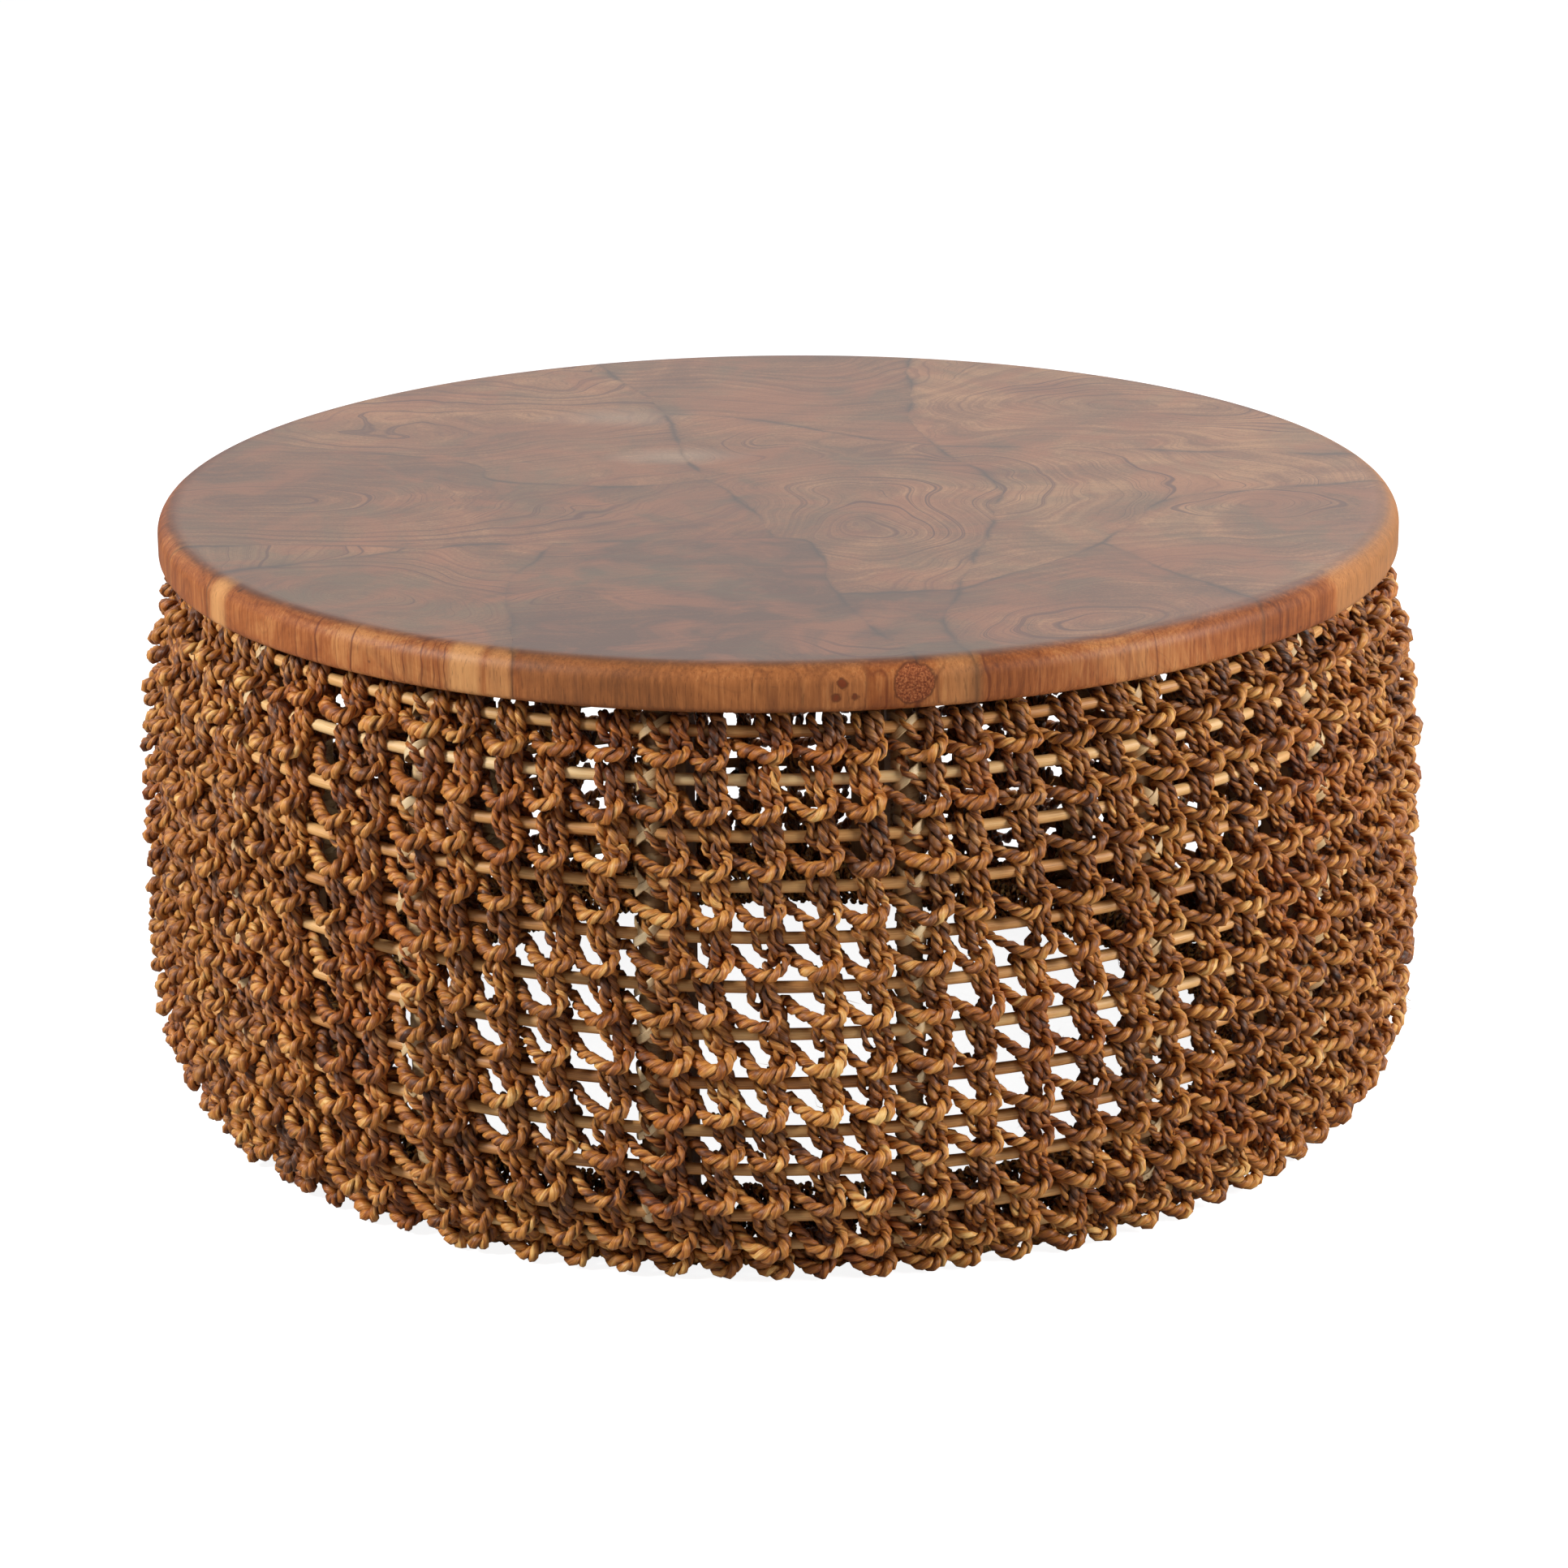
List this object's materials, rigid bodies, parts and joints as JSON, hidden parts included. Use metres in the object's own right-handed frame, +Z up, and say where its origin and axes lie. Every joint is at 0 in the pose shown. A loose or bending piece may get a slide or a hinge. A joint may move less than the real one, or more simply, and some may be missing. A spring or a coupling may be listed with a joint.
{
  "type": "low round table",
  "caption": "Round low drum table: pieced wooden top on cane ribs and hoops, netted all round with knotted twisted plant-fibre rope.",
  "frame": {"origin": "on the floor at the centre of the drum", "axes": "+Z up, -Y towards the front in the reference view, +X to the right"},
  "size_m": [0.9454, 0.9454, 0.444],
  "materials": {
    "top_wood": "satin",
    "hoop_cane": "matte",
    "net_rope": "matte",
    "rib_peel": "matte",
    "frame_wood": "matte"
  },
  "bodies": {
    "root": {"top_slab_back_left": "top_wood", "top_slab_back": "top_wood", "top_slab_back_right": "top_wood", "top_slab_centre": "top_wood", "top_slab_right": "top_wood", "top_slab_left": "top_wood", "top_slab_left_strip": "top_wood", "top_slab_front_left": "top_wood", "top_slab_front": "top_wood", "top_slab_front_knot": "top_wood", "top_slab_front_right": "top_wood", "top_slab_right_front": "top_wood", "hoop_01": "hoop_cane", "hoop_02": "hoop_cane", "hoop_03": "hoop_cane", "hoop_04": "hoop_cane", "hoop_05": "hoop_cane", "hoop_06": "hoop_cane", "hoop_07": "hoop_cane", "hoop_08": "hoop_cane", "hoop_09": "hoop_cane", "hoop_10": "hoop_cane", "hoop_11": "hoop_cane", "hoop_12": "hoop_cane", "hoop_13": "hoop_cane", "rope_course_01": "net_rope", "rope_course_02": "net_rope", "rope_course_03": "net_rope", "rope_course_04": "net_rope", "rope_course_05": "net_rope", "rope_course_06": "net_rope", "rope_course_07": "net_rope", "rope_course_08": "net_rope", "rope_course_09": "net_rope", "rope_course_10": "net_rope", "rope_course_11": "net_rope", "rope_course_12": "net_rope", "rope_course_13": "net_rope", "rib_01": "rib_peel", "rib_02": "rib_peel", "rib_03": "rib_peel", "rib_04": "rib_peel", "rib_05": "rib_peel", "rib_06": "rib_peel", "rib_07": "rib_peel", "rib_08": "rib_peel", "rib_09": "rib_peel", "rib_10": "rib_peel", "rib_11": "rib_peel", "rib_12": "rib_peel", "rib_13": "rib_peel", "rib_14": "rib_peel", "rib_15": "rib_peel", "rib_16": "rib_peel", "post_01": "frame_wood", "post_02": "frame_wood", "post_03": "frame_wood", "post_04": "frame_wood", "rail_lower": "frame_wood", "rail_upper": "frame_wood"}
  },
  "joints": []
}
